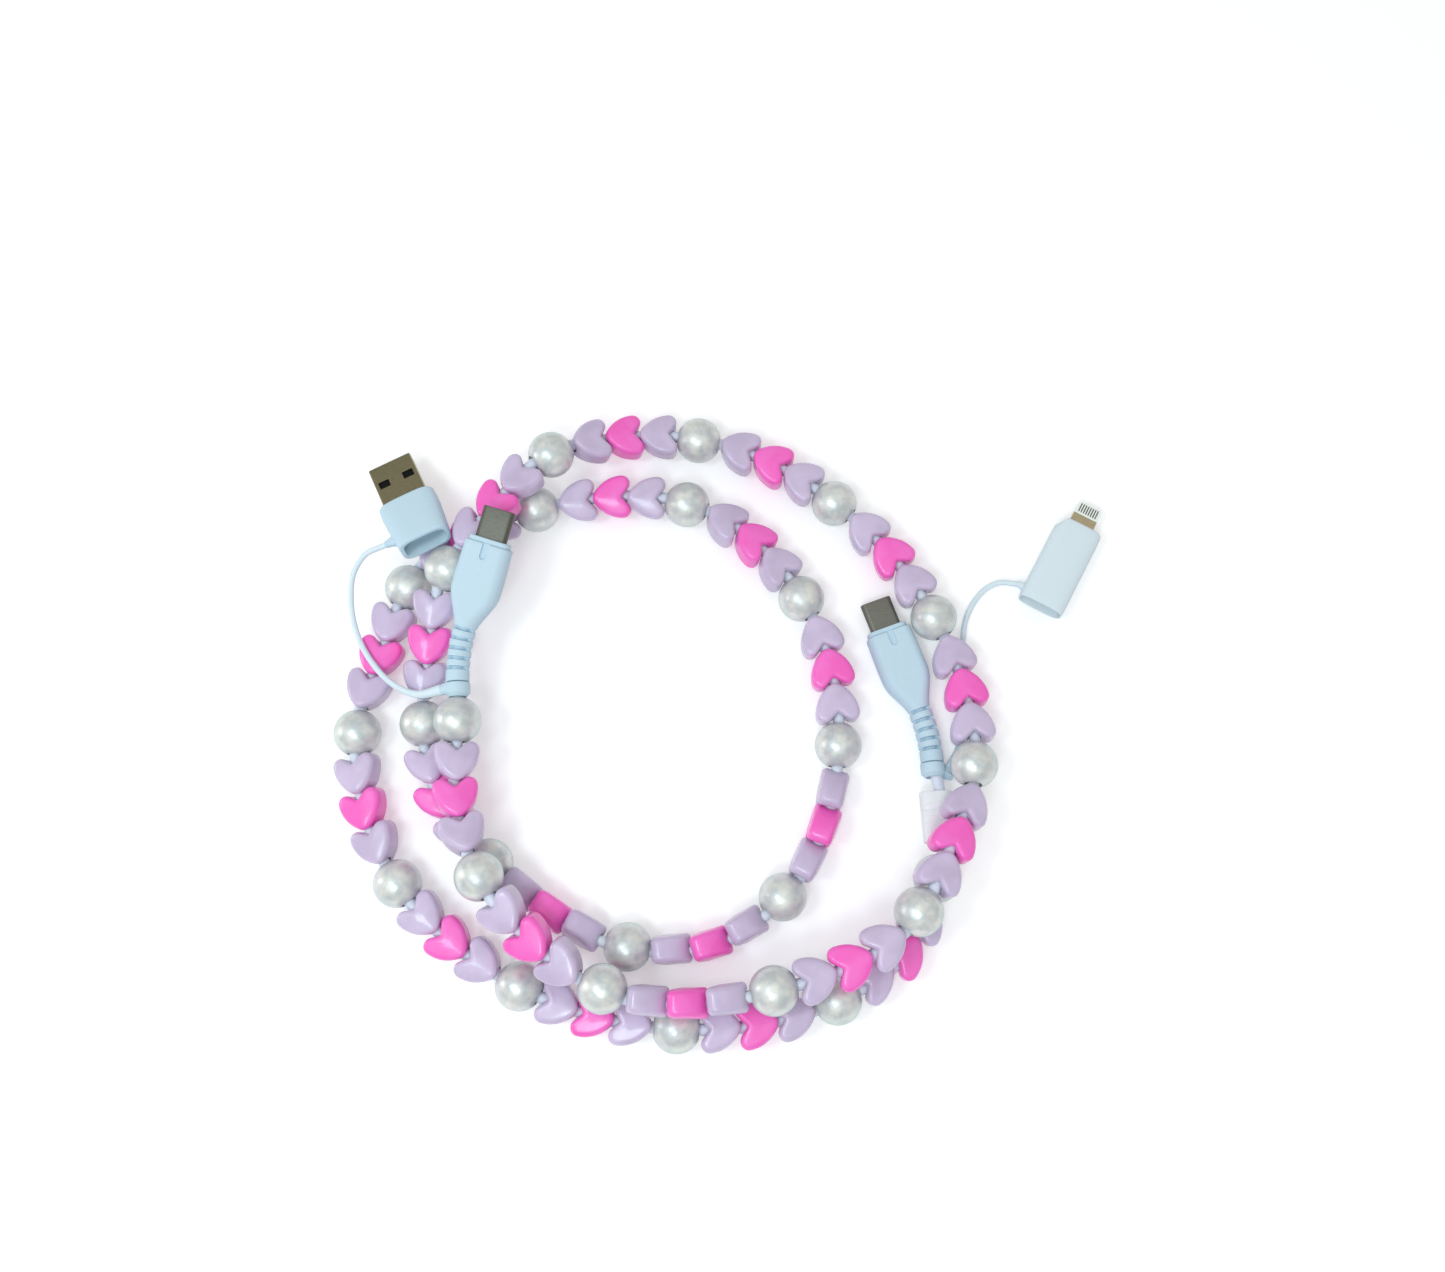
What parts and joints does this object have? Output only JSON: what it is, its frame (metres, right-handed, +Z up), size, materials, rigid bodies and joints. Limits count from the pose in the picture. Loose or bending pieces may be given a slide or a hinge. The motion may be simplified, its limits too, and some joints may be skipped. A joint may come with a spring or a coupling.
{
  "type": "charging cable",
  "caption": "Beaded charging cable in loose loops: pearls and nested hearts on a thin round cord, a type C plug on each end and a tethered adapter beside each plug.",
  "frame": {"origin": "on the floor, under the middle of the bounding box", "axes": "+X to the right of the picture and along the longest extent, +Y away from the camera, +Z up"},
  "size_m": [0.202, 0.1661, 0.0265],
  "materials": {
    "pearl": "pearlescent",
    "cord_jacket": "satin",
    "lavender_resin": "polished",
    "pink_resin": "polished",
    "sleeve_film": "satin",
    "plug_steel": "brushed",
    "type_a_steel": "brushed",
    "white_plastic": "smooth",
    "black_plastic": "smooth",
    "contact_gold": "polished",
    "finger_metal": "satin",
    "circuit_board": "satin",
    "tab_metal": "satin",
    "moulded_plastic": "satin"
  },
  "bodies": {
    "beaded_cord": {"main_cord": "cord_jacket", "lavender_hearts": "lavender_resin", "pink_hearts": "pink_resin", "left_plug_grip": "moulded_plastic", "left_strain_relief": "moulded_plastic", "left_plug_shell": "plug_steel", "left_plug_insulator": "black_plastic", "left_plug_contacts": "contact_gold", "left_plug_latches": "plug_steel", "left_plug_board": "circuit_board", "right_plug_grip": "moulded_plastic", "right_strain_relief": "moulded_plastic", "right_plug_shell": "plug_steel", "right_plug_insulator": "black_plastic", "right_plug_contacts": "contact_gold", "right_plug_latches": "plug_steel", "right_plug_board": "circuit_board", "right_strap_ring": "moulded_plastic", "right_strap": "moulded_plastic"},
    "label_sleeve": {"cord_sleeve": "sleeve_film"},
    "left_tether": {"left_strap_ring": "moulded_plastic", "left_strap": "moulded_plastic"},
    "type_a_adapter": {"type_a_housing": "moulded_plastic", "type_a_shell": "type_a_steel", "type_a_insulator": "black_plastic", "type_a_contacts": "contact_gold", "type_a_socket_shell": "plug_steel", "type_a_socket_tongue": "black_plastic"},
    "eight_contact_adapter": {"eight_contact_housing": "moulded_plastic", "eight_contact_tab": "tab_metal", "eight_contact_insert": "white_plastic", "eight_contact_fingers": "finger_metal", "eight_contact_socket_shell": "plug_steel", "eight_contact_socket_tongue": "black_plastic"},
    "pearl_01": {"pearl_01": "pearl"},
    "pearl_02": {"pearl_02": "pearl"},
    "pearl_03": {"pearl_03": "pearl"},
    "pearl_04": {"pearl_04": "pearl"},
    "pearl_05": {"pearl_05": "pearl"},
    "pearl_06": {"pearl_06": "pearl"},
    "pearl_07": {"pearl_07": "pearl"},
    "pearl_08": {"pearl_08": "pearl"},
    "pearl_09": {"pearl_09": "pearl"},
    "pearl_10": {"pearl_10": "pearl"},
    "pearl_11": {"pearl_11": "pearl"},
    "pearl_12": {"pearl_12": "pearl"},
    "pearl_13": {"pearl_13": "pearl"},
    "pearl_14": {"pearl_14": "pearl"},
    "pearl_15": {"pearl_15": "pearl"},
    "pearl_16": {"pearl_16": "pearl"},
    "pearl_17": {"pearl_17": "pearl"},
    "pearl_18": {"pearl_18": "pearl"},
    "pearl_19": {"pearl_19": "pearl"},
    "pearl_20": {"pearl_20": "pearl"},
    "pearl_21": {"pearl_21": "pearl"},
    "pearl_22": {"pearl_22": "pearl"},
    "pearl_23": {"pearl_23": "pearl"},
    "pearl_24": {"pearl_24": "pearl"},
    "pearl_25": {"pearl_25": "pearl"},
    "pearl_26": {"pearl_26": "pearl"}
  },
  "joints": [
    {"name": "sleeve_slide", "type": "slide", "parent": "beaded_cord", "child": "label_sleeve", "axis": [-0.0515, 0.9952, -0.083], "range_m": [-0.002, 0.003]},
    {"name": "left_tether_swivel", "type": "hinge", "parent": "beaded_cord", "child": "left_tether", "pos_m": [-0.06809, 0.00585, 0.01457], "axis": [-0.052, 0.9986, 0.013], "range_deg": [0, 20]},
    {"name": "type_a_strap_bend", "type": "hinge", "parent": "left_tether", "child": "type_a_adapter", "pos_m": [-0.08793, 0.04427, 0.01534], "axis": [-0.1478, 0.2901, 0.9455], "range_deg": [0, 20], "stiffness_Nm_per_rad": 0.002},
    {"name": "eight_contact_strap_bend", "type": "hinge", "parent": "beaded_cord", "child": "eight_contact_adapter", "pos_m": [0.07798, 0.03692, 0.00336], "axis": [0, 0, 1], "range_deg": [-20, 20], "stiffness_Nm_per_rad": 0.002},
    {"name": "pearl_01_spin", "type": "hinge", "parent": "beaded_cord", "child": "pearl_01", "pos_m": [-0.06784, -0.00188, 0.01453], "axis": [0.0256, -0.9997, -0.0033], "continuous": true},
    {"name": "pearl_02_spin", "type": "hinge", "parent": "beaded_cord", "child": "pearl_02", "pos_m": [-0.06014, -0.04093, 0.0182], "axis": [0.5064, -0.8552, 0.1102], "continuous": true},
    {"name": "pearl_03_spin", "type": "hinge", "parent": "beaded_cord", "child": "pearl_03", "pos_m": [-0.0297, -0.0674, 0.01728], "axis": [0.922, -0.3853, -0.0371], "continuous": true},
    {"name": "pearl_04_spin", "type": "hinge", "parent": "beaded_cord", "child": "pearl_04", "pos_m": [0.01128, -0.06784, 0.01724], "axis": [0.9735, 0.2282, 0.0173], "continuous": true},
    {"name": "pearl_05_spin", "type": "hinge", "parent": "beaded_cord", "child": "pearl_05", "pos_m": [0.04645, -0.04936, 0.01789], "axis": [0.5956, 0.8022, -0.0425], "continuous": true},
    {"name": "pearl_06_spin", "type": "hinge", "parent": "beaded_cord", "child": "pearl_06", "pos_m": [0.06262, -0.01249, 0.01072], "axis": [0.1265, 0.9653, -0.2284], "continuous": true},
    {"name": "pearl_07_spin", "type": "hinge", "parent": "beaded_cord", "child": "pearl_07", "pos_m": [0.05448, 0.02702, 0.00618], "axis": [-0.4454, 0.8951, -0.019], "continuous": true},
    {"name": "pearl_08_spin", "type": "hinge", "parent": "beaded_cord", "child": "pearl_08", "pos_m": [0.02894, 0.05863, 0.00618], "axis": [-0.7783, 0.6279, 0.0014], "continuous": true},
    {"name": "pearl_09_spin", "type": "hinge", "parent": "beaded_cord", "child": "pearl_09", "pos_m": [-0.00744, 0.07654, 0.00626], "axis": [-0.9855, 0.1683, 0.0193], "continuous": true},
    {"name": "pearl_10_spin", "type": "hinge", "parent": "beaded_cord", "child": "pearl_10", "pos_m": [-0.04648, 0.06982, 0.01316], "axis": [-0.7999, -0.5524, 0.2345], "continuous": true},
    {"name": "pearl_11_spin", "type": "hinge", "parent": "beaded_cord", "child": "pearl_11", "pos_m": [-0.07222, 0.03804, 0.01393], "axis": [-0.4372, -0.8875, -0.1458], "continuous": true},
    {"name": "pearl_12_spin", "type": "hinge", "parent": "beaded_cord", "child": "pearl_12", "pos_m": [-0.07798, -0.00136, 0.00674], "axis": [0.06, -0.9933, -0.0989], "continuous": true},
    {"name": "pearl_13_spin", "type": "hinge", "parent": "beaded_cord", "child": "pearl_13", "pos_m": [-0.05973, -0.03671, 0.00619], "axis": [0.7435, -0.6687, 0.0011], "continuous": true},
    {"name": "pearl_14_spin", "type": "hinge", "parent": "beaded_cord", "child": "pearl_14", "pos_m": [-0.02459, -0.05743, 0.0062], "axis": [0.9821, -0.1883, 0], "continuous": true},
    {"name": "pearl_15_spin", "type": "hinge", "parent": "beaded_cord", "child": "pearl_15", "pos_m": [0.01406, -0.04523, 0.0062], "axis": [0.6888, 0.7249, 0], "continuous": true},
    {"name": "pearl_16_spin", "type": "hinge", "parent": "beaded_cord", "child": "pearl_16", "pos_m": [0.02872, -0.00691, 0.0062], "axis": [0.0609, 0.9981, 0], "continuous": true},
    {"name": "pearl_17_spin", "type": "hinge", "parent": "beaded_cord", "child": "pearl_17", "pos_m": [0.01978, 0.03215, 0.0062], "axis": [-0.5112, 0.8595, 0], "continuous": true},
    {"name": "pearl_18_spin", "type": "hinge", "parent": "beaded_cord", "child": "pearl_18", "pos_m": [-0.01051, 0.0583, 0.0062], "axis": [-0.9528, 0.3037, 0], "continuous": true},
    {"name": "pearl_19_spin", "type": "hinge", "parent": "beaded_cord", "child": "pearl_19", "pos_m": [-0.05079, 0.05688, 0.0062], "axis": [-0.9633, -0.2684, 0], "continuous": true},
    {"name": "pearl_20_spin", "type": "hinge", "parent": "beaded_cord", "child": "pearl_20", "pos_m": [-0.08402, 0.03516, 0.0062], "axis": [-0.4308, -0.9024, 0], "continuous": true},
    {"name": "pearl_21_spin", "type": "hinge", "parent": "beaded_cord", "child": "pearl_21", "pos_m": [-0.09497, -0.00372, 0.0062], "axis": [-0.0301, -0.9995, 0], "continuous": true},
    {"name": "pearl_22_spin", "type": "hinge", "parent": "beaded_cord", "child": "pearl_22", "pos_m": [-0.08256, -0.04191, 0.0062], "axis": [0.5853, -0.8108, 0], "continuous": true},
    {"name": "pearl_23_spin", "type": "hinge", "parent": "beaded_cord", "child": "pearl_23", "pos_m": [-0.0511, -0.06693, 0.0062], "axis": [0.8964, -0.4433, 0], "continuous": true},
    {"name": "pearl_24_spin", "type": "hinge", "parent": "beaded_cord", "child": "pearl_24", "pos_m": [-0.01226, -0.077, 0.0062], "axis": [0.9989, -0.046, 0], "continuous": true},
    {"name": "pearl_25_spin", "type": "hinge", "parent": "beaded_cord", "child": "pearl_25", "pos_m": [0.02727, -0.07025, 0.0062], "axis": [0.9156, 0.4022, 0], "continuous": true},
    {"name": "pearl_26_spin", "type": "hinge", "parent": "beaded_cord", "child": "pearl_26", "pos_m": [0.05296, -0.04063, 0.00619], "axis": [0.2478, 0.9683, -0.0322], "continuous": true}
  ]
}
